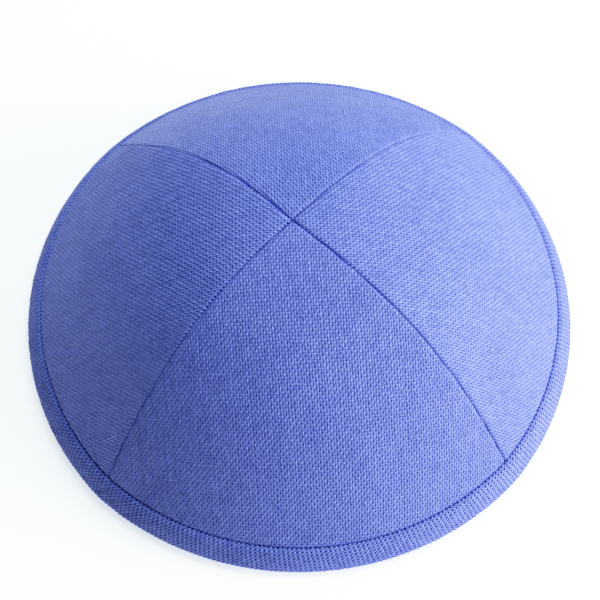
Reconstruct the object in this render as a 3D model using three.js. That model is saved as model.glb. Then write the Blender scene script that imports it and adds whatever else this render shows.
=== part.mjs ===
// A cloth skullcap sewn from four panels, its rim bound with a folded band of the same cloth.
// Millimetres, +Z up. The rim rests on Z = 0, and the front panel faces -Y.
import * as THREE from "three";
import { ParametricGeometry } from "three/addons/geometries/ParametricGeometry.js";
import { mergeVertices } from "three/addons/utils/BufferGeometryUtils.js";

const { clamp, degToRad, inverseLerp, lerp, radToDeg, smoothstep } = THREE.MathUtils;

// The crown. Along a seam it starts level at the crown point and steepens down to the rim.
const RIM_RADIUS = 85; // outside of the rim's fold, where a seam meets it
const RIM_SLOPE = degToRad(50); // of the cloth at the rim, from level
const SLOPE_EASE = 1.3; // how late the slope builds up: 1 is early, 2 is late
const CROWN_FLATNESS = 0.14; // how far a panel's middle lies inside the seams' circle at the crown
const RIM_FLATNESS = 0.012; // the same at the rim, which is nearly round
const CROWN_LEAN = new THREE.Vector2(-2, -0.9); // the crown point's place off the rim's centre

// The seams run out along the diagonals. Each bows, and sways to both sides, by a little.
const SEAMS = {
  frontLeft: { azimuth: -45, bow: -0.6, sway: -0.2 },
  frontRight: { azimuth: 45, bow: 1.6, sway: -0.2 },
  backRight: { azimuth: 135, bow: 0.3, sway: -0.2 },
  backLeft: { azimuth: 225, bow: 0.9, sway: -0.9 },
};

// The panels, each between two seams. Azimuths run from the front to the right.
const PANELS = [
  { name: "panel_front", azimuth: 0, from: SEAMS.frontLeft, to: SEAMS.frontRight },
  { name: "panel_right", azimuth: 90, from: SEAMS.frontRight, to: SEAMS.backRight },
  { name: "panel_back", azimuth: 180, from: SEAMS.backRight, to: SEAMS.backLeft },
  { name: "panel_left", azimuth: 270, from: SEAMS.backLeft, to: SEAMS.frontLeft },
];

// The cloth
const PANEL_WALL = 1.4; // linen with its stiffening
const BAND_WALL = 1; // binding, folded double
const CLEARANCE = 0.3; // between pieces that are sewn together
const TIP = CLEARANCE / 2; // length down the seams where a panel's two edges meet
const SEAM_DIP = 0.4; // how deep a panel's edge rolls in at a seam
const SEAM_DIP_WIDTH = 1.8; // how far from the seam the roll begins
const HEM_DIP_WIDTH = 3; // how far above the band a panel starts to roll in under it

// The band is folded over the panels' hems. Its fold stands on a narrow flat foot.
const FOLD_RADIUS = BAND_WALL + CLEARANCE + PANEL_WALL / 2;
const FOOT_DEPTH = 0.25; // of the fold that is pressed flat
const BAND_FACE = 6.8; // straight width of the band's outer leg above the fold
const BAND_INNER_FACE = 7.4; // the inner leg reaches higher, to be caught by the stitching
const BAND_DIP = BAND_WALL + CLEARANCE; // how deep the hems lie under the band's outer face

// Facets
const PANEL_COLUMNS = 18;
const CROWN_ROWS = 12;
const MERIDIAN_STEPS = 200;
const BAND_SEGMENTS = 72;
const FOLD_STEPS = 5;
const LEG_END_STEPS = 3;
const MERGE_DISTANCE = 1e-4;

const CLOTH_COLOUR = "#5f6dc0";
const BAND_COLOUR = "#5a67ba";
const CLOTH_ROUGHNESS = 0.9;

// Directions in the rim's section, whose axes are the radius and the height.
const upBand = new THREE.Vector2(-Math.cos(RIM_SLOPE), Math.sin(RIM_SLOPE));
const outOfBand = new THREE.Vector2(Math.sin(RIM_SLOPE), Math.cos(RIM_SLOPE));
const foldCentre = new THREE.Vector2(RIM_RADIUS - FOLD_RADIUS, FOLD_RADIUS - FOOT_DEPTH);

// A point of the rim's section, by its distance up the band and out of it from the fold's centre.
function onBand(up, out) {
  return foldCentre.clone().addScaledVector(upBand, up).addScaledVector(outOfBand, out);
}

// The ditch is the line where the panels go in under the band.
const ditch = onBand(BAND_FACE, FOLD_RADIUS);

// The slope of the crown at a share of the way from the crown point to the ditch.
function slopeAt(share) {
  return RIM_SLOPE * Math.sin((Math.PI / 2) * Math.min(share, 1)) ** SLOPE_EASE;
}

// How far a seam one unit long runs outwards and downwards up to a share of its length.
function unitMeridian(share) {
  const run = new THREE.Vector2();
  const step = share / MERIDIAN_STEPS;
  for (let i = 0; i < MERIDIAN_STEPS; i++) {
    const slope = slopeAt((i + 0.5) * step);
    run.x += Math.cos(slope) * step;
    run.y += Math.sin(slope) * step;
  }
  return run;
}

const wholeSeam = unitMeridian(1);
const seamLength = ditch.x / wholeSeam.x;
const crownHeight = ditch.y + seamLength * wholeSeam.y;

// The radius and height of the seams' outside at a length down from the crown point.
// Past the ditch it runs straight on along the band.
function seamSection(length) {
  const past = Math.max(length - seamLength, 0);
  const run = unitMeridian(Math.min(length / seamLength, 1));
  return new THREE.Vector2(
    run.x * seamLength - past * upBand.x,
    crownHeight - run.y * seamLength - past * upBand.y,
  );
}

// Plan directions at an azimuth: out from the axis, and round to the right of it.
function outward(azimuth) {
  const angle = degToRad(azimuth);
  return new THREE.Vector2(Math.sin(angle), -Math.cos(angle));
}

function sideways(azimuth) {
  const angle = degToRad(azimuth);
  return new THREE.Vector2(Math.cos(angle), Math.sin(angle));
}

// The plan place of a panel's edge along a seam, on the side of the seam that is given.
function seamEdge(seam, radius, share, side) {
  const phase = Math.PI * Math.min(share, 1);
  const stray = seam.bow * Math.sin(phase) + seam.sway * Math.sin(2 * phase);
  return outward(seam.azimuth)
    .multiplyScalar(radius)
    .addScaledVector(sideways(seam.azimuth), stray + (side * CLEARANCE) / 2);
}

// The plan place of a point of a panel at one level, on the arc through both of its seams and its
// middle. across runs from -1 at its first seam to 1 at the next.
function levelPoint(panel, radius, share, across) {
  const first = seamEdge(panel.from, radius, share, 1);
  const last = seamEdge(panel.to, radius, share, -1);
  const flatness = CROWN_FLATNESS * (1 - Math.min(share, 1)) + RIM_FLATNESS;
  const middle = outward(panel.azimuth).multiplyScalar(radius * (1 - flatness));
  const chordMiddle = first.clone().add(last).multiplyScalar(0.5);
  const halfChord = first.distanceTo(last) / 2;
  if (halfChord < MERGE_DISTANCE) return chordMiddle;
  const along = last.clone().sub(first).normalize();
  const out = new THREE.Vector2(along.y, -along.x);
  const rise = Math.max(middle.sub(chordMiddle).dot(out), MERGE_DISTANCE);
  const arcRadius = (halfChord ** 2 + rise ** 2) / (2 * rise);
  const angle = across * Math.atan2(halfChord, arcRadius - rise);
  return chordMiddle
    .addScaledVector(along, arcRadius * Math.sin(angle))
    .addScaledVector(out, arcRadius * (Math.cos(angle) - 1) + rise);
}

// The rows of a panel: the length down from the crown point and the wall there. The wall closes to
// an edge at the end of the hem, and the first row is the pointed tip, where both seams' edges meet.
function panelRows() {
  const rollStart = seamLength - HEM_DIP_WIDTH;
  const hemEnd = seamLength + BAND_FACE - CLEARANCE;
  const rows = [];
  for (let i = 0; i <= CROWN_ROWS; i++) {
    rows.push({ length: lerp(TIP, rollStart, i / CROWN_ROWS), wall: PANEL_WALL });
  }
  rows.push({ length: seamLength - HEM_DIP_WIDTH / 3, wall: PANEL_WALL });
  rows.push({ length: seamLength, wall: PANEL_WALL });
  rows.push({ length: hemEnd - PANEL_WALL / 2, wall: PANEL_WALL });
  rows.push({ length: hemEnd, wall: 0 });
  return rows;
}

const ROWS = panelRows();
const RING = 2 * (PANEL_COLUMNS + 1);

// Where a column of a panel lies across it. The outermost columns keep the seam roll's width.
function columnPlace(column, halfWidth) {
  const roll = Math.min(SEAM_DIP_WIDTH / halfWidth, 2 / PANEL_COLUMNS);
  if (column === 0) return -1;
  if (column === PANEL_COLUMNS) return 1;
  return lerp(-1 + roll, 1 - roll, (column - 1) / (PANEL_COLUMNS - 2));
}

// How deep the outside or the inside of a panel's wall lies under the crown's outer form. The wall
// rolls in at the seams and under the band.
function wallDepth(row, atSeam, inside) {
  const hemDip = BAND_DIP * smoothstep(row.length, seamLength - HEM_DIP_WIDTH, seamLength);
  const closing = (PANEL_WALL - row.wall) / 2;
  if (inside) return hemDip + PANEL_WALL - closing;
  const seamDip = atSeam ? SEAM_DIP * smoothstep(row.length, TIP, SEAM_DIP_WIDTH) : 0;
  return hemDip + closing + Math.min(seamDip, row.wall / 2);
}

// A point on the outside or the inside of a panel's wall.
function wallPoint(panel, row, column, inside, target) {
  const share = inverseLerp(TIP, seamLength, row.length);
  const section = seamSection(row.length);
  const slope = slopeAt(row.length / seamLength);
  const across = columnPlace(column, section.x * Math.SQRT1_2);
  const depth = wallDepth(row, Math.abs(across) === 1, inside);
  const lift = clamp(inverseLerp(ditch.y, crownHeight, section.y), 0, 1);
  const plan = levelPoint(panel, section.x, share, across);
  const out = plan.clone().normalize();
  plan.addScaledVector(out, -depth * Math.sin(slope)).addScaledVector(CROWN_LEAN, lift);
  return target.set(plan.x, plan.y, section.y - depth * Math.cos(slope));
}

// One closed body: shared points are merged, and facets that shrank to a line are dropped.
function closedBody(geometry) {
  geometry.deleteAttribute("normal");
  geometry.deleteAttribute("uv");
  const merged = mergeVertices(geometry, MERGE_DISTANCE);
  const corners = merged.index.array;
  const kept = [];
  for (let i = 0; i < corners.length; i += 3) {
    const facet = [corners[i], corners[i + 1], corners[i + 2]];
    if (new Set(facet).size === 3) kept.push(...facet);
  }
  merged.setIndex(kept);
  merged.computeVertexNormals();
  return merged;
}

// A panel: a ring of points round the wall's section, carried from the crown's tip to the hem.
function panelGeometry(panel) {
  const skin = (u, v, target) => {
    const ring = Math.round(u * RING) % RING;
    const inside = ring > PANEL_COLUMNS;
    const column = inside ? ring - PANEL_COLUMNS - 1 : PANEL_COLUMNS - ring;
    const row = ROWS[Math.round(v * (ROWS.length - 1))];
    return wallPoint(panel, row, column, inside, target);
  };
  return closedBody(new ParametricGeometry(skin, RING, ROWS.length - 1));
}

// Points on a round stretch of the band's section, between two angles from the radius's direction.
function sectionArc(centre, radius, from, to, steps) {
  return new THREE.EllipseCurve(centre.x, centre.y, radius, radius, from, to, false).getPoints(steps);
}

// The band's section: the fold on its foot, the outer leg, the channel for the hems and the inner leg.
function bandSection() {
  const legEnd = BAND_WALL / 2;
  const legMiddle = FOLD_RADIUS - legEnd;
  const channel = FOLD_RADIUS - BAND_WALL;
  const outAngle = outOfBand.angle();
  const inAngle = outAngle + Math.PI;
  const footAngle = Math.asin(foldCentre.y / FOLD_RADIUS);
  const footStart = 2 * Math.PI - footAngle;
  const points = [
    ...sectionArc(foldCentre, FOLD_RADIUS, footStart, 2 * Math.PI + outAngle, FOLD_STEPS),
    ...sectionArc(onBand(BAND_FACE - legEnd, legMiddle), legEnd, outAngle, inAngle, LEG_END_STEPS),
    onBand(0, channel),
    onBand(0, -channel),
    ...sectionArc(onBand(BAND_INNER_FACE - legEnd, -legMiddle), legEnd, outAngle, inAngle, LEG_END_STEPS),
    ...sectionArc(foldCentre, FOLD_RADIUS, inAngle, Math.PI + footAngle, 2),
  ];
  points.push(points[0].clone());
  return points;
}

// How much nearer the axis the rim lies at an azimuth than it does at the seams.
function rimShare(azimuth) {
  const turned = degToRad(azimuth - 90 * Math.round(azimuth / 90));
  const half = Math.SQRT1_2;
  const rise = 1 - RIM_FLATNESS - half;
  const arcRadius = (half ** 2 + rise ** 2) / (2 * rise);
  const centre = half + rise - arcRadius;
  return centre * Math.cos(turned) + Math.sqrt(arcRadius ** 2 - (centre * Math.sin(turned)) ** 2);
}

// The band: its section turned round the axis, then drawn in a little between the seams.
function bandGeometry() {
  const geometry = new THREE.LatheGeometry(bandSection(), BAND_SEGMENTS).rotateX(Math.PI / 2);
  const places = geometry.getAttribute("position");
  for (let i = 0; i < places.count; i++) {
    const azimuth = radToDeg(Math.atan2(places.getX(i), -places.getY(i)));
    const share = rimShare((azimuth + 360) % 360);
    places.setXY(i, places.getX(i) * share, places.getY(i) * share);
  }
  return closedBody(geometry);
}

function clothPiece(name, geometry, colour) {
  const finish = { color: colour, roughness: CLOTH_ROUGHNESS, metalness: 0 };
  const material = new THREE.MeshStandardMaterial(finish);
  const mesh = new THREE.Mesh(geometry, material);
  mesh.name = name;
  return mesh;
}

const skullcap = new THREE.Group();
for (const panel of PANELS) {
  skullcap.add(clothPiece(panel.name, panelGeometry(panel), CLOTH_COLOUR));
}
skullcap.add(clothPiece("rim_band", bandGeometry(), BAND_COLOUR));

export default skullcap;
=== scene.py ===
"""A linen skullcap of four sewn panels with a bound rim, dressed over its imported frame.

Metres, +Z up. The cap stands on its rim at Z = 0, and its front panel faces -Y.
"""

import logging
import math
from dataclasses import dataclass, field
from enum import Enum

import bmesh
import bpy
import numpy as np
from mathutils import Matrix, Vector


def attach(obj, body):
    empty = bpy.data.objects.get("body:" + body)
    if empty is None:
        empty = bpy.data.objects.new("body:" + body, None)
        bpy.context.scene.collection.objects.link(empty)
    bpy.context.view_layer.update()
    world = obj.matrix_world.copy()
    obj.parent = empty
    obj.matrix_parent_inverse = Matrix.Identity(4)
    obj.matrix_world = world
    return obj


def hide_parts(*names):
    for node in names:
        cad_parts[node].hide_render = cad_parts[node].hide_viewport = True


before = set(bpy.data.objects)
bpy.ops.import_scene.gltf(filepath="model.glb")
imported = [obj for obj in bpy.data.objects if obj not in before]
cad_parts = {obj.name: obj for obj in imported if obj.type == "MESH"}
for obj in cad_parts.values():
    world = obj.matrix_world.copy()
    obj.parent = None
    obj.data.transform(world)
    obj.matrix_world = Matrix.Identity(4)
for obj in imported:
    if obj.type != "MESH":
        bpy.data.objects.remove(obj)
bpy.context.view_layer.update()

MM = 0.001
THREADS = "Threads"
BAKE_MAP = "OFBake"
BAKE_MARGIN = 0.01
BODY = "root"
MIDDLE_GREYS = (0.3, 0.7)

Array = np.ndarray
BMesh = bmesh.types.BMesh
Colour = tuple[float, float, float]
Piece = bpy.types.Object
Range = tuple[float, float]
Socket = bpy.types.NodeSocket

log = logging.getLogger("skullcap")


class Hold(Enum):
    """How a piece of cloth is held."""

    STRETCHED = "stretched"
    FOLDED = "folded"


class Slot(Enum):
    """The record's material slots."""

    PANEL = "panel_linen"
    BAND = "band_linen"


def smoothstep(value: Array, low: float, high: float) -> Array:
    """Eases from 0 at low to 1 at high."""
    share = np.clip((value - low) / (high - low), 0.0, 1.0)
    return share * share * (3.0 - 2.0 * share)


def unit(vectors: Array) -> Array:
    """Scales rows of vectors to a length of one."""
    return vectors / np.maximum(np.linalg.norm(vectors, axis=-1, keepdims=True), 1e-12)


def walked(points: Array) -> Array:
    """Measures the distance along a line at each of its points."""
    return np.concatenate([[0.0], np.cumsum(np.linalg.norm(np.diff(points, axis=0), axis=-1))])


def resampled(places: Array, known: Array, rows: Array) -> Array:
    """Reads rows that are known at some places at others."""
    return np.stack([np.interp(places, known, column) for column in rows.T], axis=-1)


def new_mesh(name: str, bm: BMesh) -> bpy.types.Mesh:
    """Turns a bmesh into a new mesh and frees it."""
    mesh = bpy.data.meshes.new(name)
    bm.to_mesh(mesh)
    bm.free()
    return mesh


def linked(name: str, data: bpy.types.ID) -> Piece:
    """Puts data in the scene as a new object at the origin."""
    made = bpy.data.objects.new(name, data)
    bpy.context.scene.collection.objects.link(made)
    return made


@dataclass(frozen=True)
class SeamLine:
    """A seam that runs out from the crown point.

    Attributes:
        azimuth: Its direction in degrees, from the front round to the right.
        bow: How far its middle bows to the right of that direction.
        sway: How far it sways to both sides.
    """

    azimuth: float
    bow: float
    sway: float

    def plan(self, radius: Array, share: Array) -> Array:
        """Places the seam in plan.

        Args:
            radius: Distances from the axis.
            share: How far down the seam each of them lies, from 0 to 1.

        Returns:
            Points as rows of x and y.
        """
        angle = math.radians(self.azimuth)
        phase = np.pi * np.clip(share, 0.0, 1.0)
        stray = self.bow * np.sin(phase) + self.sway * np.sin(2.0 * phase)
        x = radius * math.sin(angle) + stray * math.cos(angle)
        y = -radius * math.cos(angle) + stray * math.sin(angle)
        return np.stack([x, y], axis=-1)


FRONT_LEFT = SeamLine(-45.0, -0.6 * MM, -0.2 * MM)
FRONT_RIGHT = SeamLine(45.0, 1.6 * MM, -0.2 * MM)
BACK_RIGHT = SeamLine(135.0, 0.3 * MM, -0.2 * MM)
BACK_LEFT = SeamLine(225.0, 0.9 * MM, -0.9 * MM)


@dataclass(frozen=True)
class Gore:
    """The place of one panel between its two seams.

    Attributes:
        azimuth: Direction of its middle in degrees, from the front round to the right.
        first: The seam on its left, seen from outside.
        last: The seam on its right.
        turned: Whether its cloth was cut with the other side out, which mirrors its weave and the
            weave's painted diagonal shade.
    """

    azimuth: float
    first: SeamLine
    last: SeamLine
    turned: bool = False


@dataclass
class CapForm:
    """The cap's outer form: a crown over four gores, and the section of its rim.

    Attributes:
        rim_radius: Outside of the rim's fold, where a seam meets it.
        rim_slope: Slope of the cloth at the rim, from level, in radians.
        slope_ease: How late the slope builds up.
        crown_flatness: How far a gore's middle lies inside the seams' circle at the crown.
        rim_flatness: The same at the rim.
        lean: The crown point's place off the rim's centre.
        fold_radius: Outside radius of the band's fold.
        foot_depth: How much of the fold is pressed flat.
        band_face: Straight width of the band above its fold.
        steps: Number of points in the tables below.
        shares: Shares of a seam's length.
        runs: Distance out from the crown point at each share, for a seam of length one.
        drops: Distance down from it.
    """

    rim_radius: float = 85.0 * MM
    rim_slope: float = math.radians(50.0)
    slope_ease: float = 1.3
    crown_flatness: float = 0.14
    rim_flatness: float = 0.012
    lean: tuple[float, float] = (-2.0 * MM, -0.9 * MM)
    fold_radius: float = 2.0 * MM
    foot_depth: float = 0.25 * MM
    band_face: float = 6.8 * MM
    steps: int = 2000
    shares: Array = field(init=False)
    runs: Array = field(init=False)
    drops: Array = field(init=False)

    def __post_init__(self) -> None:
        """Works out the seams' section from the crown point down to the ditch."""
        self.shares = np.linspace(0.0, 1.0, self.steps)
        slopes = self.rim_slope * np.sin(np.pi / 2.0 * self.shares) ** self.slope_ease
        self.runs = self._summed(np.cos(slopes))
        self.drops = self._summed(np.sin(slopes))

    def _summed(self, rates: Array) -> Array:
        """Adds up rates along the unit section."""
        steps = (rates[1:] + rates[:-1]) / 2.0 / (self.steps - 1)
        return np.concatenate([[0.0], np.cumsum(steps)])

    @property
    def fold_centre(self) -> Array:
        """Centre of the band's fold, as a radius and a height."""
        return np.array([self.rim_radius - self.fold_radius, self.fold_radius - self.foot_depth])

    def on_band(self, up: float, out: float) -> Array:
        """Places a point of the rim's section.

        Args:
            up: Distance up the band from the fold's centre.
            out: Distance out of it.

        Returns:
            A radius and a height.
        """
        rise = np.array([-math.cos(self.rim_slope), math.sin(self.rim_slope)])
        away = np.array([math.sin(self.rim_slope), math.cos(self.rim_slope)])
        return self.fold_centre + rise * up + away * out

    @property
    def ditch(self) -> Array:
        """The line where the panels go in under the band, as a radius and a height."""
        return self.on_band(self.band_face, self.fold_radius)

    @property
    def seam_length(self) -> float:
        """Length of a seam from the crown point to the ditch."""
        return float(self.ditch[0] / self.runs[-1])

    @property
    def height(self) -> float:
        """Height of the crown point."""
        return float(self.ditch[1] + self.seam_length * self.drops[-1])

    def point(self, gore: Gore, length: Array, across: Array) -> Array:
        """Places points of the outer form.

        Args:
            gore: The panel that they lie on.
            length: Lengths down from the crown point.
            across: Places across the panel, from -1 at its first seam to 1 at its last.

        Returns:
            Points as rows of x, y and z.
        """
        whole = self.seam_length
        share = np.clip(length / whole, 0.0, 1.0)
        past = np.maximum(length - whole, 0.0)
        radius = np.interp(share, self.shares, self.runs) * whole + past * math.cos(self.rim_slope)
        fall = np.interp(share, self.shares, self.drops) * whole + past * math.sin(self.rim_slope)
        height = self.height - fall
        first = gore.first.plan(radius, share)
        last = gore.last.plan(radius, share)
        angle = math.radians(gore.azimuth)
        flatness = self.crown_flatness * (1.0 - share) + self.rim_flatness
        reach = radius * (1.0 - flatness)
        middle = np.stack([reach * math.sin(angle), -reach * math.cos(angle)], axis=-1)
        chord_middle = (first + last) / 2.0
        half = np.linalg.norm(last - first, axis=-1) / 2.0 + 1e-9
        along = unit(last - first)
        out = np.stack([along[..., 1], -along[..., 0]], axis=-1)
        rise = np.maximum(np.sum((middle - chord_middle) * out, axis=-1), 1e-8)
        arc_radius = (half**2 + rise**2) / (2.0 * rise)
        turn = across * np.arctan2(half, arc_radius - rise)
        plan = chord_middle + along * (arc_radius * np.sin(turn))[..., None]
        plan = plan + out * (arc_radius * (np.cos(turn) - 1.0) + rise)[..., None]
        low = self.ditch[1]
        lift = np.clip((height - low) / (self.height - low), 0.0, 1.0)
        plan = plan + lift[..., None] * np.array(self.lean)
        return np.concatenate([plan, height[..., None]], axis=-1)

    def rim_share(self, azimuth: Array) -> Array:
        """Measures how near the axis the rim lies.

        Args:
            azimuth: Directions in radians, from the front round to the right.

        Returns:
            Its distances as shares of those at the seams.
        """
        quarter = np.pi / 2.0
        turned = azimuth - quarter * np.round(azimuth / quarter)
        half = math.sqrt(0.5)
        rise = 1.0 - self.rim_flatness - half
        arc_radius = (half**2 + rise**2) / (2.0 * rise)
        centre = half + rise - arc_radius
        return centre * np.cos(turned) + np.sqrt(arc_radius**2 - (centre * np.sin(turned)) ** 2)


@dataclass(frozen=True)
class Weave:
    """A plain weave, with its relief over the cloth's middle surface.

    Attributes:
        warp: Spacing of the warp threads.
        weft: Spacing of the weft threads.
        crossing_lift: How much higher a warp thread lies where it passes over.
        warp_round: Half the depth of the furrows between warp threads.
        weft_round: Half the depth of the furrows between weft threads.
        slub: How much the threads' thickness varies.
        seed: Start of the random draws for the slubs.
    """

    warp: float = 0.76 * MM
    weft: float = 0.95 * MM
    crossing_lift: float = 0.1 * MM
    warp_round: float = 0.05 * MM
    weft_round: float = 0.02 * MM
    slub: float = 0.35
    seed: int = 11

    def thickness(self, index: Array, place: Array, draw: int) -> Array:
        """Gives how thick threads are at places along them.

        Args:
            index: Number of each thread.
            place: Place along it, counted in crossings.
            draw: Which set of random draws to use.

        Returns:
            Factors round one.
        """
        rng = np.random.default_rng(self.seed + draw)
        count, knots, stretch = 509, 61, 9.0
        thread_spread, knot_spread = 0.6, 0.8
        thinnest, thickest = 0.2, 1.9
        table = rng.normal(0.0, thread_spread, (count, 1))
        table = table + rng.normal(0.0, knot_spread, (count, knots))
        where = place / stretch
        low = np.floor(where).astype(int)
        share = where - low
        row = np.mod(index, count)
        local = table[row, np.mod(low, knots)] * (1.0 - share)
        local = local + table[row, np.mod(low + 1, knots)] * share
        return np.clip(1.0 + self.slub * local, thinnest, thickest)

    def relief(self, threads: Array) -> Array:
        """Gives the height of the cloth's face over its middle surface.

        Args:
            threads: Rows of places counted in warp and in weft threads.

        Returns:
            Heights in metres.
        """
        u, v = threads[:, 0], threads[:, 1]
        warp_size = self.thickness(np.floor(u).astype(int), v, 0)
        weft_size = self.thickness(np.floor(v).astype(int), u, 1)
        crossing = np.sin(np.pi * u) * np.sin(np.pi * v)
        size = np.where(crossing > 0.0, warp_size, weft_size)
        height = self.crossing_lift * crossing * size
        height = height - self.warp_round * np.cos(2.0 * np.pi * u) * warp_size
        return height - self.weft_round * np.cos(2.0 * np.pi * v) * weft_size


class NodeGraph:
    """A material's node tree, with short calls that add nodes and link them."""

    def __init__(self, name: str) -> None:
        """Starts an empty tree in a new material."""
        self.material = bpy.data.materials.new(name)
        self.material.use_nodes = True
        self.tree = self.material.node_tree
        self.tree.nodes.clear()

    def node(self, kind: str, inputs: dict, **settings: object) -> bpy.types.bpy_prop_collection:
        """Adds a node.

        Args:
            kind: Its type.
            inputs: Sockets to link, or values to set, by the name or number of the input.
            **settings: Its properties.

        Returns:
            Its outputs.
        """
        made = self.tree.nodes.new(kind)
        for name, value in settings.items():
            setattr(made, name, value)
        for key, value in inputs.items():
            if isinstance(value, Socket):
                self.tree.links.new(value, made.inputs[key])
            else:
                made.inputs[key].default_value = value
        return made.outputs

    def math(self, operation: str, *values: object) -> Socket:
        """Adds a math node over one to three sockets or numbers."""
        return self.node("ShaderNodeMath", dict(enumerate(values)), operation=operation)[0]

    def times(self, first: object, second: object) -> Socket:
        """Multiplies two sockets or numbers."""
        return self.math("MULTIPLY", first, second)

    def spread(self, value: Socket, within: Range, to: Range) -> Socket:
        """Maps a range of values to another, held within it."""
        names = ("Value", "From Min", "From Max", "To Min", "To Max")
        inputs = dict(zip(names, (value, *within, *to)))
        return self.node("ShaderNodeMapRange", inputs, interpolation_type="SMOOTHSTEP")["Result"]

    def vector(self, *parts: object) -> Socket:
        """Joins two or three sockets or numbers to a vector."""
        return self.node("ShaderNodeCombineXYZ", dict(enumerate(parts)))[0]

    def noise(self, place: Socket, scale: float, detail: float) -> Socket:
        """Adds a noise texture and gives its grey value."""
        inputs = {"Vector": place, "Scale": scale, "Detail": detail}
        return self.node("ShaderNodeTexNoise", inputs, noise_dimensions="3D")["Fac"]

    def mix(self, kind: str, share: Socket, low: object, high: object) -> Socket:
        """Mixes two numbers or two colours by a share."""
        inputs = {"Factor": share, "A": low, "B": high}
        return self.node("ShaderNodeMix", inputs, data_type=kind)["Result"]

    def object_place(self) -> Socket:
        """Gives the place in the object's own coordinates."""
        return self.node("ShaderNodeTexCoord", {})["Object"]

    def finish(self, **inputs: object) -> bpy.types.Material:
        """Adds the surface shader, with inputs by name, and links it to the material's output."""
        named = {name.replace("_", " "): value for name, value in inputs.items()}
        shader = self.node("ShaderNodeBsdfPrincipled", named)[0]
        self.node("ShaderNodeOutputMaterial", {"Surface": shader})
        return self.material


@dataclass(frozen=True)
class Streaks:
    """Noise that follows the threads of a cloth.

    Attributes:
        across: Its steps to a thread.
        along: Its steps to a crossing.
        draw: The slice of the noise that the weft threads take.
        within: The grey values that are spread over its tones.
        tones: Tones of its darkest and lightest places.
    """

    across: float
    along: float
    draw: float
    within: Range
    tones: Range

    def build(self, graph: NodeGraph, steps: tuple, places: tuple, warp_shows: Socket) -> Socket:
        """Adds the noise of whichever thread is on top.

        Args:
            graph: The material's tree.
            steps: Places that the noise takes across the warp and the weft threads.
            places: Places counted in warp and in weft threads.
            warp_shows: One where a warp thread is on top.

        Returns:
            A grey value's socket.
        """
        warp_step, weft_step = (graph.times(step, self.across) for step in steps)
        warp_place, weft_place = (graph.times(place, self.along) for place in places)
        warp = graph.noise(graph.vector(warp_step, weft_place), 1.0, 2.0)
        weft = graph.noise(graph.vector(warp_place, weft_step, self.draw), 1.0, 2.0)
        return graph.mix("FLOAT", warp_shows, weft, warp)


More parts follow.
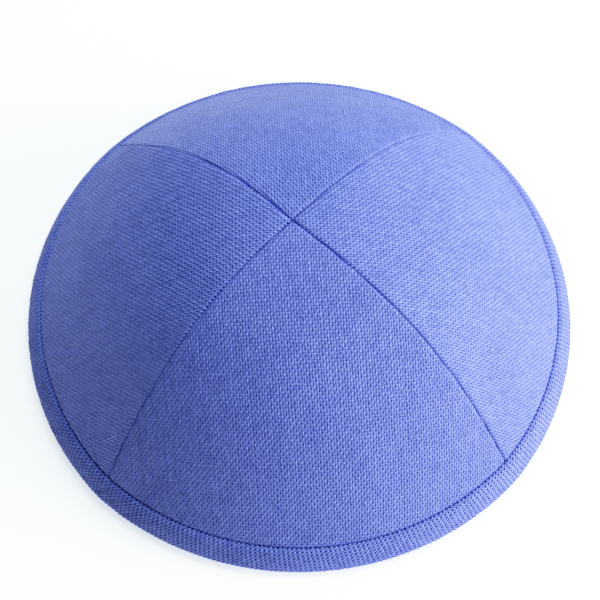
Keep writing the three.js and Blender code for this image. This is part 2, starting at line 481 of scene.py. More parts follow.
@dataclass(frozen=True)
class LinenFinish:
    """Dyed linen: crossing threads, painted shade in the gaps between them and uneven yarn.

    Attributes:
        name: The material's name.
        colour: Colour of a thread in full light.
        deep: Colour of the painted shade deep between threads.
        gap: How much of a thread's colour is left there, under that painted shade.
        lift: How strongly threads rise and sink at crossings.
        weft_sink: How much lower the weft threads lie than the warp threads, so that the weft threads on
            top are also painted in shade.
        melt: How softly one thread gives way to another.
        slant: How much every other gap between the threads is lowered, which deepens the fine relief
            there and paints a shade that leans along one diagonal, as the light falls.
        heights: Heights that are painted with the deepest shade in a gap and with a thread in full
            light.
        stray: How far threads wander from their even places, in threads.
        stray_steps: Steps of that wander to a thread and to a crossing.
        yarn: Noise from thread to thread.
        fibre: Noise along the fibres.
        fibre_relief: How high fibres stand in the fine relief.
        cloud: Scale and detail of the noise over a few centimetres.
        mottle: How much the tone varies with it.
        bump: Strength of the fine relief.
        depth: Height that the fine relief stands for.
        roughness: Roughness of the yarn.
        specular: Gloss of a thread in full light, which fades with the painted shade.
    """

    name: str
    colour: Colour = (0.14, 0.2, 0.9)
    deep: Colour = (0.002, 0.01, 0.22)
    gap: float = 0.25
    lift: float = 0.6
    weft_sink: float = 0.43
    melt: float = 0.12
    slant: float = 0.35
    heights: Range = (0.1, 1.68)
    stray: float = 0.7
    stray_steps: tuple[float, float] = (0.45, 0.12)
    yarn: Streaks = Streaks(1.73, 0.25, 7.0, (0.25, 0.75), (0.7, 1.3))
    fibre: Streaks = Streaks(7.0, 1.1, 3.0, (0.2, 0.8), (0.88, 1.1))
    fibre_relief: float = 0.35
    cloud: tuple[float, float] = (38.0, 3.0)
    mottle: float = 0.065
    bump: float = 0.65
    depth: float = 0.2 * MM
    roughness: float = 0.6
    specular: float = 0.66

    def material(self) -> bpy.types.Material:
        """Builds the material.

        Returns:
            A material that reads the piece's thread map.
        """
        graph = NodeGraph(self.name)
        threads = graph.node("ShaderNodeUVMap", {}, uv_map=THREADS)["UV"]
        warp, weft, _ = graph.node("ShaderNodeSeparateXYZ", {0: threads})
        places = (self._strayed(graph, warp, weft), self._strayed(graph, weft, warp))
        steps = tuple(graph.math("FLOOR", place) for place in places)
        height, warp_shows = self._crossings(graph, *places)
        tone = self.yarn.build(graph, steps, places, warp_shows)
        fibre = self.fibre.build(graph, places, places, warp_shows)
        cloud = graph.noise(graph.object_place(), *self.cloud)
        # Painted shade: the lower a place of the weave lies, the more it is painted towards the colour
        # deep between threads.
        light = graph.spread(height, self.heights, (self.gap, 1.0))
        light = graph.times(light, graph.spread(tone, self.yarn.within, self.yarn.tones))
        light = graph.times(light, graph.spread(fibre, self.fibre.within, self.fibre.tones))
        mottling = (1.0 - self.mottle, 1.0 + self.mottle)
        light = graph.times(light, graph.spread(cloud, MIDDLE_GREYS, mottling))
        fine = graph.math("MULTIPLY_ADD", fibre, self.fibre_relief, height)
        relief = {"Strength": self.bump, "Distance": self.depth, "Height": fine}
        # The base colour runs from the painted shade to the thread's colour, and the gloss fades with
        # the painted shade.
        return graph.finish(
            Base_Color=graph.mix("RGBA", light, (*self.deep, 1.0), (*self.colour, 1.0)),
            Roughness=self.roughness,
            Specular_IOR_Level=graph.times(light, self.specular),
            Normal=graph.node("ShaderNodeBump", relief)["Normal"],
        )

    def _strayed(self, graph: NodeGraph, across: Socket, along: Socket) -> Socket:
        """Lets threads wander from their even places.

        Args:
            graph: The material's tree.
            across: Place counted in these threads.
            along: Place along them, counted in crossings.

        Returns:
            The new place's socket.
        """
        to_thread, to_crossing = self.stray_steps
        slow = graph.vector(graph.times(across, to_thread), graph.times(along, to_crossing))
        shift = graph.math("SUBTRACT", graph.noise(slow, 1.0, 1.0), 0.5)
        return graph.math("MULTIPLY_ADD", shift, self.stray, across)

    def _crossings(self, graph: NodeGraph, u: Socket, v: Socket) -> tuple[Socket, Socket]:
        """Adds the height of whichever thread is on top.

        Every other gap between four threads is lowered, which deepens the fine relief there and paints a
        shade that leans along one diagonal, as the light falls.

        Args:
            graph: The material's tree.
            u: Place counted in warp threads.
            v: Place counted in weft threads.

        Returns:
            The height, and a value of one where a warp thread is on top.
        """
        phase_u, phase_v = graph.times(u, math.pi), graph.times(v, math.pi)
        wave_u, wave_v = graph.math("SINE", phase_u), graph.math("SINE", phase_v)
        warp_sway = graph.times(graph.math("SIGN", wave_u), wave_v)
        weft_sway = graph.times(graph.math("SIGN", wave_v), wave_u)
        warp = graph.math("MULTIPLY_ADD", warp_sway, self.lift, graph.math("ABSOLUTE", wave_u))
        weft = graph.math("MULTIPLY_ADD", weft_sway, -self.lift, graph.math("ABSOLUTE", wave_v))
        weft = graph.math("SUBTRACT", weft, self.weft_sink)
        height = graph.math("SMOOTH_MAX", warp, weft, self.melt)
        # Painted diagonal shade: every other corner between four threads is lowered.
        corners = graph.times(graph.math("COSINE", phase_u), graph.math("COSINE", phase_v))
        height = graph.math("MULTIPLY_ADD", corners, -self.slant, height)
        return height, graph.math("GREATER_THAN", warp, weft)


@dataclass(frozen=True)
class ThreadFinish:
    """Sewing thread, two plies twisted together, with painted shade between the plies.

    Attributes:
        name: The material's name.
        colour: Colour of a ply in full light.
        hollow: How much of its colour is left in the painted shade deep between the plies.
        tones: Tones of the darkest and the lightest place.
        roughness: Roughness of the thread.
        twist: Scale of the noise that stands for the twist and paints its shade.
    """

    name: str
    colour: Colour = (0.05, 0.075, 0.36)
    hollow: float = 0.3
    tones: Range = (0.55, 1.0)
    roughness: float = 0.6
    twist: float = 2600.0

    def material(self) -> bpy.types.Material:
        """Builds the material.

        Returns:
            A material with a fine twist along the thread, its shade between the plies painted in.
        """
        graph = NodeGraph(self.name)
        twist = graph.noise(graph.object_place(), self.twist, 1.0)
        light = graph.spread(twist, MIDDLE_GREYS, self.tones)
        # Painted shade between the plies: the thread's colour, dimmed by hollow.
        ply_shade = tuple(self.hollow * part for part in self.colour)
        colour = graph.mix("RGBA", light, (*ply_shade, 1.0), (*self.colour, 1.0))
        return graph.finish(Base_Color=colour, Roughness=self.roughness)


class ClothMesh:
    """A piece of cloth whose points can be moved and mapped."""

    def __init__(self, name: str, bm: BMesh) -> None:
        """Copies the bmesh to a new object at the origin."""
        self.mesh = new_mesh(name, bm)
        self.object = linked(name, self.mesh)

    def points(self) -> Array:
        """Reads the points' places."""
        places = np.empty(len(self.mesh.vertices) * 3)
        self.mesh.vertices.foreach_get("co", places)
        return places.reshape(-1, 3)

    def raised(self, heights: Array) -> Array:
        """Gives the points' places when each is lifted along its normal."""
        normals = np.empty(len(self.mesh.vertices) * 3)
        self.mesh.vertex_normals.foreach_get("vector", normals)
        return self.points() + normals.reshape(-1, 3) * heights[:, None]

    def place(self, places: Array) -> None:
        """Moves the points."""
        self.mesh.vertices.foreach_set("co", np.ascontiguousarray(places, dtype=np.float32).ravel())
        self.mesh.update()

    def corners(self) -> Array:
        """Reads which point each corner of the faces is."""
        found = np.empty(len(self.mesh.loops), dtype=np.int32)
        self.mesh.loops.foreach_get("vertex_index", found)
        return found

    def add_map(self, name: str, places: Array) -> None:
        """Adds a UV map from a place for each corner of the faces."""
        layer = self.mesh.uv_layers.new(name=name)
        layer.data.foreach_set("uv", places.astype(np.float32).ravel())


@dataclass
class Drape:
    """How flat cloth lies on one gore, its grain along the gore's middle.

    Attributes:
        form: The cap's form.
        gore: The gore.
        reach: How far down from the crown point the gore is measured.
        samples: Number of points in the tables below.
        rounds: Number of steps in which points settle.
        down: Distances down the gore's middle line.
        tables: Its points, and its directions along it, sideways and out of the cloth.
    """

    form: CapForm
    gore: Gore
    reach: float
    samples: int = 1500
    rounds: int = 14
    down: Array = field(init=False)
    tables: tuple[Array, ...] = field(init=False)

    def __post_init__(self) -> None:
        """Measures the gore's middle line and its directions."""
        lengths = np.linspace(0.0, self.reach, self.samples)
        middle = self.form.point(self.gore, lengths, np.zeros_like(lengths))
        self.down = walked(middle)
        along = unit(np.gradient(middle, self.down, axis=0))
        angle = math.radians(self.gore.azimuth)
        level = np.array([math.cos(angle), math.sin(angle), 0.0])
        side = unit(level - along * (along @ level)[:, None])
        self.tables = (middle, along, side, np.cross(along, side))

    def _miss(self, weft: tuple[Array, ...], length: Array, place: Array) -> tuple[Array, Array]:
        """Measures how far points of the gore lie from where the cloth wants them.

        Args:
            weft: Each weft thread's start, its directions along the gore, sideways and out, and
                the distances along it.
            length: Lengths down from the crown point.
            place: Places across the gore.

        Returns:
            Distances off the weft thread's plane, and distances too far along it.
        """
        start, along, side, out, across = weft
        away = self.form.point(self.gore, length, place) - start
        x, depth = np.sum(away * side, axis=-1), np.sum(away * out, axis=-1)
        half = np.arctan2(np.abs(depth), np.abs(x))
        curve = np.sign(x) * np.hypot(x, depth) / np.sinc(half / np.pi)
        return np.sum(away * along, axis=-1), curve - across

    def settle(self, across: Array, down: Array) -> tuple[Array, Array]:
        """Finds where points of the flat cloth come to lie on the gore.

        A weft thread lies in the plane square to the gore's middle line, and distances along both
        directions of the cloth are kept.

        Args:
            across: Distances along the weft from the middle line.
            down: Distances along the middle line from the crown point.

        Returns:
            Lengths down from the crown point, and places across the gore.
        """
        weft = (*(resampled(down, self.down, table) for table in self.tables), across)
        tip, widest, least = 0.1 * MM, 2.0, 1e-9
        nudge_length, nudge_place = 0.01 * MM, 1e-4
        most_length, most_place = 6.0 * MM, 0.3
        length = np.hypot(across, down) + tip
        place = np.clip(np.arctan2(across, down) / (np.pi / 4.0), -widest, widest)
        for _ in range(self.rounds):
            e, f = self._miss(weft, length, place)
            e_l, f_l = self._miss(weft, length + nudge_length, place)
            e_p, f_p = self._miss(weft, length, place + nudge_place)
            a, b = (e_l - e) / nudge_length, (e_p - e) / nudge_place
            c, d = (f_l - f) / nudge_length, (f_p - f) / nudge_place
            whole = a * d - b * c
            whole = np.where(np.abs(whole) < least, least, whole)
            length = length - np.clip((d * e - b * f) / whole, -most_length, most_length)
            place = place - np.clip((a * f - c * e) / whole, -most_place, most_place)
            length = np.clip(length, tip, self.reach)
            place = np.clip(place, -widest, widest)
        return length, place


@dataclass
class Panel:
    """One sewn panel of the crown.

    Attributes:
        node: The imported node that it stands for.
        gore: Its place in the crown.
        form: The cap's form.
        weave: The cloth's weave.
        wall: Thickness of the cloth with its stiffening.
        seam_gap: Clearance between the faces of two panels along their seam.
        seam_lap: How far the inside runs on past the seam, so that no light comes through.
        tip_reach: How far from the crown point the inside laps over it too.
        roll_width: How far from a seam the cloth starts to roll in.
        roll_depth: How deep it rolls in.
        hem_roll: How far above and below the ditch the cloth turns in under the band.
        hem_depth: How deep it goes.
        hem_reach: How far it runs on under the band.
        half_width: Half the width of the flat cloth that it is cut from.
        spare: How far past the ditch that cloth is draped.
        flat: Width and length that the cloth is cut to.
        flat_area: Area that it is cut to.
    """

    node: str
    gore: Gore
    form: CapForm
    weave: Weave
    wall: float = 1.4 * MM
    seam_gap: float = 0.18 * MM
    seam_lap: float = 0.2 * MM
    tip_reach: float = 2.0 * MM
    roll_width: float = 1.1 * MM
    roll_depth: float = 0.5 * MM
    hem_roll: tuple[float, float] = (1.1 * MM, 0.5 * MM)
    hem_depth: float = 0.85 * MM
    hem_reach: float = 3.6 * MM
    half_width: float = 69.0 * MM
    spare: float = 60.0 * MM
    flat: tuple[float, float] = field(init=False)
    flat_area: float = field(init=False)

    def build(self) -> Piece:
        """Drapes, trims, rolls in and thickens the panel's cloth.

        Returns:
            The panel's object.
        """
        bm, layer = self._trimmed_cloth()
        self._measure(bm, layer)
        inner = self._doubled(bm)
        bm.verts.index_update()
        spots = np.array([v.co for v in bm.verts])
        cloth = np.array([v[layer] for v in bm.verts])[:, :2]
        is_inner = np.zeros(len(bm.verts), dtype=bool)
        is_inner[[v.index for v in inner]] = True
        made = ClothMesh(f"{self.node}_linen", bm)
        made.place(self._laid(spots[:, 1] * MM, spots[:, 0], cloth, is_inner))
        threads = cloth / np.array([self.weave.warp, self.weave.weft])
        threads[:, 0] *= -1.0 if self.gore.turned else 1.0
        made.place(made.raised(self.weave.relief(threads)))
        made.mesh.shade_smooth()
        corners = made.corners()
        made.add_map(THREADS, threads[corners])
        made.add_map(BAKE_MAP, self._bake_places(cloth, is_inner)[corners])
        return made.object

    def _trimmed_cloth(self) -> tuple[BMesh, object]:
        """Makes the flat cloth, two points to a thread, and cuts it at the seams and the hem.

        Returns:
            A bmesh whose x is the place across the gore and whose y is the length down from the
            crown point in millimetres, and the layer that holds each point's place in the flat cloth.
        """
        weave, form = self.weave, self.form
        hem_end = form.seam_length + self.hem_reach
        columns = 2 * round(self.half_width / weave.warp)
        rows = 2 * round(hem_end / weave.weft)
        bm = bmesh.new()
        layer = bm.verts.layers.float_vector.new("cloth")
        bmesh.ops.create_grid(bm, x_segments=2 * columns, y_segments=rows, size=0.5)
        size = Vector((columns * weave.warp, rows * weave.weft / 2.0, 1.0))
        bmesh.ops.translate(bm, vec=(0.0, 0.5, 0.0), verts=bm.verts)
        bmesh.ops.scale(bm, vec=size, verts=bm.verts)
        for v in bm.verts:
            v[layer] = v.co
        cloth = np.array([v.co for v in bm.verts])
        drape = Drape(form, self.gore, form.seam_length + self.spare)
        length, place = drape.settle(cloth[:, 0], cloth[:, 1])
        for v, x, y in zip(bm.verts, place, length / MM):
            v.co = (x, y, 0.0)
        cuts = (((1, 0, 0), (1, 0, 0)), ((-1, 0, 0), (-1, 0, 0)), ((0, hem_end / MM, 0), (0, 1, 0)))
        for edge, normal in cuts:
            whole = bm.verts[:] + bm.edges[:] + bm.faces[:]
            bmesh.ops.bisect_plane(
                bm, geom=whole, dist=1e-6, plane_co=edge, plane_no=normal, clear_outer=True
            )
        return bm, layer

    def _measure(self, bm: BMesh, layer: object) -> None:
        """Notes the size and the area that the cloth was cut to.

        Args:
            bm: The trimmed cloth.
            layer: The layer that holds each point's place in the flat cloth.
        """
        cut = bm.copy()
        for v, draped in zip(cut.verts, bm.verts):
            v.co = draped[layer]
        corners = np.array([v.co for v in cut.verts])
        width, length, _ = np.ptp(corners, axis=0)
        self.flat = (float(width), float(length))
        self.flat_area = sum(face.calc_area() for face in cut.faces)
        cut.free()

    @staticmethod
    def _doubled(bm: BMesh) -> list[bmesh.types.BMVert]:
        """Adds the inside of the wall and closes its edges.

        Args:
            bm: The trimmed cloth.

        Returns:
            The points of the inside.
        """
        made = bmesh.ops.extrude_face_region(bm, geom=bm.faces[:], use_keep_orig=True)
        inner = [item for item in made["geom"] if isinstance(item, bmesh.types.BMVert)]
        for v in inner:
            v.co.z = -1.0
        bmesh.ops.recalc_face_normals(bm, faces=bm.faces[:])
        return inner

    def _laid(self, length: Array, across: Array, cloth: Array, is_inner: Array) -> Array:
        """Lays the cloth's two faces on the cap's form, rolled in at the seams and under the band.

        Args:
            length: Lengths down from the crown point.
            across: Places across the gore.
            cloth: Places in the flat cloth.
            is_inner: Which points are on the inside.

        Returns:
            The points' places.
        """
        form, gore = self.form, self.gore
        step_length, step_across, tip = 0.05 * MM, 1e-3, 0.15 * MM
        length = np.maximum(length, tip)
        spot = form.point(gore, length, across)
        fall = form.point(gore, length + step_length, across) - spot
        level = form.point(gore, length, across + step_across) - spot
        out = unit(np.cross(fall, level))
        edge = self._seam_distance(cloth, across)
        near = np.clip(1.0 - edge / self.roll_width, 0.0, 1.0)
        roll = self.roll_depth * (1.0 - np.sqrt(1.0 - near**2))
        above, below = self.hem_roll
        hem = self.hem_depth * smoothstep(length, form.seam_length - above, form.seam_length + below)
        depth = np.where(is_inner, hem + self.wall, hem + roll)
        gap = np.where(is_inner, -self.seam_lap, self.seam_gap / 2.0) * near * np.sign(across)
        lap = np.where(is_inner, 2.0 * self.seam_lap, 0.0)
        lap = lap * (1.0 - smoothstep(length, 0.0, self.tip_reach))
        moved = spot - out * depth[:, None] - unit(level) * gap[:, None]
        return moved - unit(fall) * lap[:, None]

    @staticmethod
    def _seam_distance(cloth: Array, across: Array) -> Array:
        """Measures how far points lie from the nearer seam in the flat cloth.

        Args:
            cloth: Places in the flat cloth.
            across: Places across the gore.

        Returns:
            Distances square to the seam.
        """
        touching, knots, far = 1e-4, 60, 1.0
        found = np.full(len(cloth), far)
        for sign in (-1.0, 1.0):
            seam = cloth[np.abs(across - sign) < touching]
            seam = seam[np.argsort(seam[:, 1])]
            smooth_down = np.linspace(seam[0, 1], seam[-1, 1], knots)
            smooth_wide = np.interp(smooth_down, seam[:, 1], sign * seam[:, 0])
            lean = np.arctan(np.gradient(smooth_wide, smooth_down))
            wide = np.interp(cloth[:, 1], seam[:, 1], sign * seam[:, 0])
            square = np.cos(np.interp(cloth[:, 1], smooth_down, lean))
            found = np.minimum(found, np.maximum(wide - sign * cloth[:, 0], 0.0) * square)
        return found

    @staticmethod
    def _bake_places(cloth: Array, is_inner: Array) -> Array:
        """Lays both faces flat side by side in the unit square."""
        low, high = cloth.min(axis=0), cloth.max(axis=0)
        spot = BAKE_MARGIN + (cloth - low) / (high - low) * (np.array([0.5, 1.0]) - 2.0 * BAKE_MARGIN)
        spot[:, 0] += np.where(is_inner, 0.5, 0.0)
        return spot

    def dress(self, piece: Piece, finish: bpy.types.Material) -> None:
        """Args:
            piece: The panel's object.
            finish: The linen.
        """
        piece.data.materials.append(finish)
        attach(piece, BODY)
        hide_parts(self.node)


@dataclass
class RimBand:
    """The band that binds the rim: one bias strip folded over the panels' hems.

    Attributes:
        node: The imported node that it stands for.
        form: The cap's form.
        weave: The cloth's weave.
        wall: Thickness of the folded strip.
        inner_face: Straight width of its inner leg above the fold.
        puff: How far the outer leg bulges.
        puff_shape: Exponents that set how high up it bulges and how evenly.
        column_step: Half the distance along the strip between crossings of the same kind.
        row_step: The same across the strip.
        lean: How far the columns of crossings lean along the strip for each unit across it.
        stitch: Length of the stitches that hold it.
        pucker: How far its top edge is pulled in and let out between them.
        pucker_rows: How many rows down from the top edge the puckers reach.
        leg_points: Number of points that draw a leg of its section.
        arc_points: Number of points that draw an arc of it.
        flat: Width and length that the strip is cut to.
    """

    node: str
    form: CapForm
    weave: Weave
    wall: float = 1.0 * MM
    inner_face: float = 7.4 * MM
    puff: float = 0.5 * MM
    puff_shape: tuple[float, float] = (0.6, 0.8)
    column_step: float = 0.674 * MM
    row_step: float = 0.544 * MM
    lean: float = 0.176
    stitch: float = 2.9 * MM
    pucker: float = 0.24 * MM
    pucker_rows: float = 3.0
    leg_points: int = 40
    arc_points: int = 24
    flat: tuple[float, float] = field(init=False)

    def build(self) -> Piece:
        """Turns the band's section round the axis, leans its columns and raises its weave.

        Returns:
            The band's object.
        """
        radius = float(self.form.fold_centre[0])
        columns = 2 * round(math.pi * radius / self.column_step)
        skin, channel = self._section()
        self.flat = ((len(skin) - 1) * self.row_step, 2.0 * math.pi * radius)
        bm = bmesh.new()
        layer = bm.verts.layers.float_vector.new("cloth")
        loop = [bm.verts.new((away, 0.0, height)) for away, height in np.concatenate([skin, channel])]
        for row, v in enumerate(loop):
            v[layer] = (0.0, float(min(row, len(skin) - 1)), float(row))
        edges = [bm.edges.new(pair) for pair in zip(loop, loop[1:] + loop[:1])]
        bmesh.ops.spin(
            bm, geom=loop + edges, cent=(0, 0, 0), axis=(0, 0, 1), dvec=(0, 0, 0),
            angle=2.0 * math.pi, steps=columns, use_merge=True, use_duplicate=False,
        )
        bmesh.ops.remove_doubles(bm, verts=bm.verts, dist=1e-6)
        bmesh.ops.recalc_face_normals(bm, faces=bm.faces)
        rows = np.array([v[layer] for v in bm.verts])[:, 1:]
        made = ClothMesh(f"{self.node}_linen", bm)
        places = made.points()
        turn = np.arctan2(places[:, 1], places[:, 0]) / (2.0 * np.pi)
        column = np.mod(np.round(turn * columns), columns)
        made.place(self._leant(places, column / columns, rows))
        threads = np.stack([column + rows[:, 0], column - rows[:, 0]], axis=-1) / 2.0
        on_skin = rows[:, 1] < len(skin)
        places = made.raised(np.where(on_skin, self.weave.relief(threads), 0.0))
        places[:, 2] = np.maximum(places[:, 2], 0.0)
        made.place(places)
        made.mesh.shade_smooth()
        self._map(made, column, columns, rows, len(skin) + len(channel))
        return made.object

    def _leant(self, places: Array, turn: Array, rows: Array) -> Array:
        """Leans the columns as the strip's bias does, draws the rim in between the seams and puckers it.

        Args:
            places: The points of the plain turned band.
            turn: Each point's share of a turn.
            rows: Each point's row of the skin, and its row of the whole section.

        Returns:
            The points' places.
        """
        radius = float(self.form.fold_centre[0])
        angle = 2.0 * np.pi * turn + self.lean * rows[:, 0] * self.row_step / radius
        azimuth = angle + np.pi / 2.0
        stitches = round(2.0 * np.pi * radius / self.stitch)
        share, waves, fewer = 0.5, 7.0, 3
        stray = share * np.sin(waves * angle) * np.cos((stitches - fewer) * angle)
        near_top = np.clip(1.0 - rows[:, 1] / self.pucker_rows, 0.0, 1.0)
        pull = self.pucker * (np.cos(stitches * angle) + stray) * near_top
        away = np.hypot(places[:, 0], places[:, 1]) - pull * math.cos(self.form.rim_slope)
        away = away * self.form.rim_share(azimuth)
        height = places[:, 2] + pull * math.sin(self.form.rim_slope)
        return np.stack([away * np.cos(angle), away * np.sin(angle), height], axis=-1)

    def _section(self) -> tuple[Array, Array]:
        """Draws the band's section as a closed ring of points.

        Returns:
            The skin, from the top of the outer leg round the fold to the top of the inner leg, and
            the channel that the hems lie in.
        """
        form, end = self.form, self.wall / 2.0
        mid, channel = form.fold_radius - end, form.fold_radius - self.wall
        tilt = math.pi / 2.0 - form.rim_slope
        foot = math.asin(form.fold_centre[1] / form.fold_radius)
        outer_top, inner_top = form.band_face - end, self.inner_face - end
        leg = np.linspace(0.0, 1.0, self.leg_points)
        place, fullness = self.puff_shape
        puff = self.puff * np.sin(np.pi * leg**place) ** fullness
        outline = np.concatenate([
            self._arc(form.on_band(outer_top, mid), end, tilt + np.pi, tilt),
            [form.on_band(outer_top * (1.0 - t), form.fold_radius + p) for t, p in zip(leg, puff)],
            self._arc(form.fold_centre, form.fold_radius, tilt, -foot),
            self._arc(form.fold_centre, form.fold_radius, foot - np.pi, tilt - np.pi),
            [form.on_band(inner_top * t, -form.fold_radius) for t in leg],
            self._arc(form.on_band(inner_top, -mid), end, tilt + np.pi, tilt),
        ])
        far = walked(outline)
        skin = resampled(np.linspace(0.0, far[-1], round(far[-1] / self.row_step) + 1), far, outline)
        hollow = np.array([
            form.on_band(self.inner_face / 2.0, -channel),
            form.on_band(0.0, -channel),
            form.on_band(0.0, channel),
            form.on_band(form.band_face / 2.0, channel),
        ])
        return skin, hollow

    def _arc(self, centre: Array, radius: float, start: float, stop: float) -> Array:
        """Draws an arc of the section between two angles from the radius's direction."""
        angles = np.linspace(start, stop, self.arc_points)
        return centre + radius * np.stack([np.cos(angles), np.sin(angles)], axis=-1)

    @staticmethod
    def _opened(values: Array, whole: int) -> Array:
        """Lets faces that close a ring run on past its last value."""
        wraps = values.max(axis=1) - values.min(axis=1) > whole / 2
        return np.where(wraps[:, None] & (values < whole / 2), values + whole, values)

    def _map(self, made: ClothMesh, column: Array, columns: int, rows: Array, ring: int) -> None:
        """Adds the thread map and the bake map, which both open at one column.

        Args:
            made: The band's mesh.
            column: Each point's column.
            columns: Number of columns round the rim.
            rows: Each point's row of the skin, and its row of the whole section.
            ring: Number of rows of the whole section.
        """
        faces = made.corners().reshape(-1, 4)
        along = self._opened(column[faces], columns)
        level = self._opened(rows[:, 1][faces], ring)
        row = rows[:, 0][faces]
        made.add_map(THREADS, np.stack([along + row, along - row], axis=-1) / 2.0)
        bake = np.stack([0.97 * along / columns, 0.98 * level / ring], axis=-1)
        made.add_map(BAKE_MAP, BAKE_MARGIN + bake)

    def dress(self, piece: Piece, finish: bpy.types.Material) -> None:
        """Args:
            piece: The band's object.
            finish: The linen.
        """
        piece.data.materials.append(finish)
        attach(piece, BODY)
        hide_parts(self.node)


@dataclass
class StitchRow:
    """A row of short stitches round the rim.

    Attributes:
        name: The row's name.
        form: The cap's form.
        up: How far up the band it runs from the fold's centre.
        out: How far out of that line.
        pitch: Distance between stitches.
        length: Length of a stitch that shows.
        thickness: Thickness of the thread.
        stray: How much a stitch's length and place vary.
        seed: Start of the random draws.
    """

    name: str
    form: CapForm
    up: float
    out: float
    pitch: float = 2.9 * MM
    length: float = 2.4 * MM
    thickness: float = 0.34 * MM
    stray: float = 0.12
    seed: int = 5

    def build(self) -> Piece:
        """Sets the stitches round the rim.

        Returns:
            The row's object.
        """
        rng = np.random.default_rng(self.seed)
        away, height = self.form.on_band(self.up, self.out)
        count = round(2.0 * math.pi * away / self.pitch)
        bm = bmesh.new()
        for number in range(count):
            shift, grow = rng.normal(0.0, self.stray, 2)
            azimuth = 2.0 * math.pi * (number + shift) / count
            reach = away * float(self.form.rim_share(np.array(azimuth)))
            half = np.array([self.length * (1.0 + grow), self.thickness, self.thickness]) / 2.0
            turned = Matrix.Rotation(azimuth, 4, "Z") @ Matrix.Translation((0.0, -reach, height))
            shape = turned @ Matrix.Diagonal((*half, 1.0))
            bmesh.ops.create_uvsphere(bm, u_segments=6, v_segments=5, radius=1.0, matrix=shape)
        mesh = new_mesh(self.name, bm)
        mesh.shade_smooth()
        return linked(self.name, mesh)

    @staticmethod
    def dress(piece: Piece, finish: bpy.types.Material) -> None:
        """Args:
            piece: The row's object.
            finish: The thread.
        """
        piece.data.materials.append(finish)
        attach(piece, BODY)


@dataclass(frozen=True)
class SoftBox:
    """A square soft light that faces the cap.

    Attributes:
        name: The light's name.
        azimuth: Its direction in degrees, from the front round to the right.
        elevation: Its angle above level, in degrees.
        power: Its power in watts.
        colour: Its colour.
        size: Its side.
        distance: Its distance from the cap.
    """

    name: str
    azimuth: float
    elevation: float
    power: float
    colour: Colour
    size: float = 0.6
    distance: float = 1.0

    def build(self) -> None:
        """Hangs the light."""
        turn, rise = math.radians(self.azimuth), math.radians(self.elevation)
        level = math.cos(rise)
        way = Vector((level * math.sin(turn), -level * math.cos(turn), math.sin(rise)))
        light = bpy.data.lights.new(self.name, "AREA")
        light.size = self.size
        light.energy = self.power
        light.color = self.colour
        lamp = linked(self.name, light)
        lamp.location = way * self.distance
        lamp.rotation_euler = (-way).to_track_quat("-Z", "Y").to_euler()


SOFT_BOXES = (
    SoftBox("window_light", 90.0, 15.0, 15.6, (1.0, 0.95, 0.68)),
    SoftBox("window_edge_light", 68.0, 15.0, 17.4, (1.0, 0.95, 0.99)),
    SoftBox("high_light", 135.0, 55.0, 12.3, (0.88, 1.0, 1.0)),
    SoftBox("high_back_light", 180.0, 55.0, 2.2, (0.94, 1.0, 1.0)),
    SoftBox("back_light", 195.0, 20.0, 2.6, (0.95, 1.0, 0.98)),
)
FILM_STOPS = (0.03, 0.07, 0.13, 0.2, 0.3, 0.42, 0.56, 0.75)


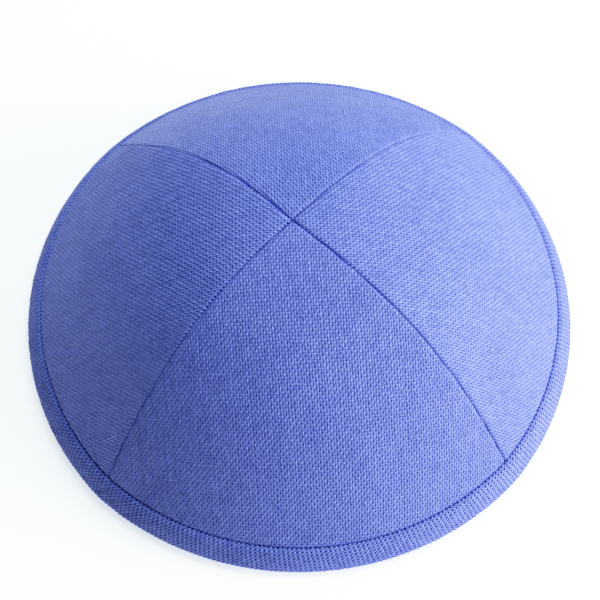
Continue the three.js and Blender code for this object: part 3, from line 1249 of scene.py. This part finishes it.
@dataclass(frozen=True)
class Studio:
    """A pale lit floor, soft light from the right and behind, and the camera.

    Attributes:
        elevation: The camera's angle above level, in degrees.
        turn: Its angle from the front to the left, in degrees.
        distance: Its distance from the point that it is aimed at.
        aim: Sideways place and height of that point.
        focal: Focal length in pixels of a frame of the width below.
        frame_width: That width in pixels.
        sensor: Width of the camera's sensor in millimetres.
        glow: How brightly the floor is lit through, as a light table is.
        tint: Colour of that glow and of the backdrop.
        film_white: Brightness that the film renders as full white.
        film_limit: Brightness that the film's soft shoulder tends to.
    """

    elevation: float = 63.35
    turn: float = 2.297
    distance: float = 344.72 * MM
    aim: tuple[float, float] = (0.18 * MM, 2.97 * MM)
    focal: float = 1108.8
    frame_width: float = 600.0
    sensor: float = 36.0
    glow: float = 1.25
    tint: Colour = (0.86, 0.96, 1.0)
    film_white: float = 3.0
    film_limit: float = 1.1

    def build(self) -> None:
        """Makes the floor, the lights, the film and the camera."""
        self._floor()
        self._world()
        for box in SOFT_BOXES:
            box.build()
        self._film()
        self._camera()

    def _film(self) -> None:
        """Gives the picture a film's soft shoulder, so that bright cloth keeps its tones."""
        settings = bpy.context.scene.view_settings
        settings.view_transform = "Standard"
        settings.use_curve_mapping = True
        mapping = settings.curve_mapping
        mapping.white_level = (self.film_white,) * 3
        curve = mapping.curves[3]
        for share in FILM_STOPS:
            curve.points.new(share, self._film_tone(share))
        curve.points[-1].location = (1.0, min(self._film_tone(1.0), 1.0))
        mapping.update()

    def _film_tone(self, share: float) -> float:
        """Gives the film's tone at a share of its full white."""
        return self.film_limit * (1.0 - math.exp(-share * self.film_white / self.film_limit))

    def _floor(self) -> None:
        """Lays a wide pale floor."""
        half_side, pale_grey = 2.0, (0.92, 0.92, 0.92, 1.0)
        bm = bmesh.new()
        bmesh.ops.create_grid(bm, x_segments=1, y_segments=1, size=half_side)
        floor = linked("floor", new_mesh("floor", bm))
        finish = NodeGraph("pale_floor").finish(
            Base_Color=pale_grey, Roughness=0.9,
            Emission_Color=(*self.tint, 1.0), Emission_Strength=self.glow,
        )
        floor.data.materials.append(finish)

    def _world(self) -> None:
        """Puts a backdrop as pale as the far floor round the scene, which lights nothing."""
        world = bpy.data.worlds.new("backdrop")
        bpy.context.scene.world = world
        world.use_nodes = True
        sky = world.node_tree.nodes["Background"]
        sky.inputs["Color"].default_value = (*self.tint, 1.0)
        sky.inputs["Strength"].default_value = self.glow
        world.cycles_visibility.diffuse = False
        world.cycles_visibility.glossy = False

    def _camera(self) -> None:
        """Sets the camera at the angle and distance of the view."""
        lens = bpy.data.cameras.new("camera")
        lens.sensor_width = self.sensor
        lens.lens = self.sensor * self.focal / self.frame_width
        lens.clip_start = 10.0 * MM
        rise = math.radians(self.elevation)
        back = Vector((0.0, -math.cos(rise), math.sin(rise))) * self.distance
        aim = Vector((self.aim[0], 0.0, self.aim[1]))
        turned = Matrix.Rotation(-math.radians(self.turn), 3, "Z")
        camera = linked("camera", lens)
        camera.location = turned @ (aim + back)
        camera.rotation_euler = (turned @ -back).to_track_quat("-Z", "Y").to_euler()
        bpy.context.scene.camera = camera


def report(piece: Piece) -> None:
    """Logs a piece's name, its number of faces and half its surface."""
    faces = piece.data.polygons
    log.info("%s: %d faces, %.5f m2", piece.name, len(faces), sum(face.area for face in faces) / 2.0)


def main() -> None:
    """Builds the cap's pieces in order, dresses them and sets the studio."""
    logging.basicConfig(level=logging.INFO, format="%(message)s")
    form, weave = CapForm(), Weave()
    panel_linen = LinenFinish(Slot.PANEL.value).material()
    # The band's gaps are painted in deeper shade, and its painted diagonal shade is a little stronger.
    band_linen = LinenFinish(Slot.BAND.value, gap=0.04, slant=0.4, heights=(0.1, 1.4)).material()
    thread = ThreadFinish("sewing_thread").material()
    gores = {
        "panel_front": Gore(0.0, FRONT_LEFT, FRONT_RIGHT),
        "panel_right": Gore(90.0, FRONT_RIGHT, BACK_RIGHT, turned=True),
        "panel_back": Gore(180.0, BACK_RIGHT, BACK_LEFT, turned=True),
        "panel_left": Gore(270.0, BACK_LEFT, FRONT_LEFT),
    }
    panels = [Panel(node, gore, form, weave) for node, gore in gores.items()]
    rows = (
        StitchRow("ditch_stitches", form, up=6.95 * MM, out=1.2 * MM),
        StitchRow("inner_stitches", form, up=6.5 * MM, out=-2.05 * MM),
    )
    parts = [(panel, panel_linen) for panel in panels]
    parts += [(RimBand("rim_band", form, weave), band_linen)]
    parts += [(row, thread) for row in rows]
    for part, finish in parts:
        piece = part.build()
        part.dress(piece, finish)
        report(piece)
    Studio().build()


if __name__ == "__main__":
    main()
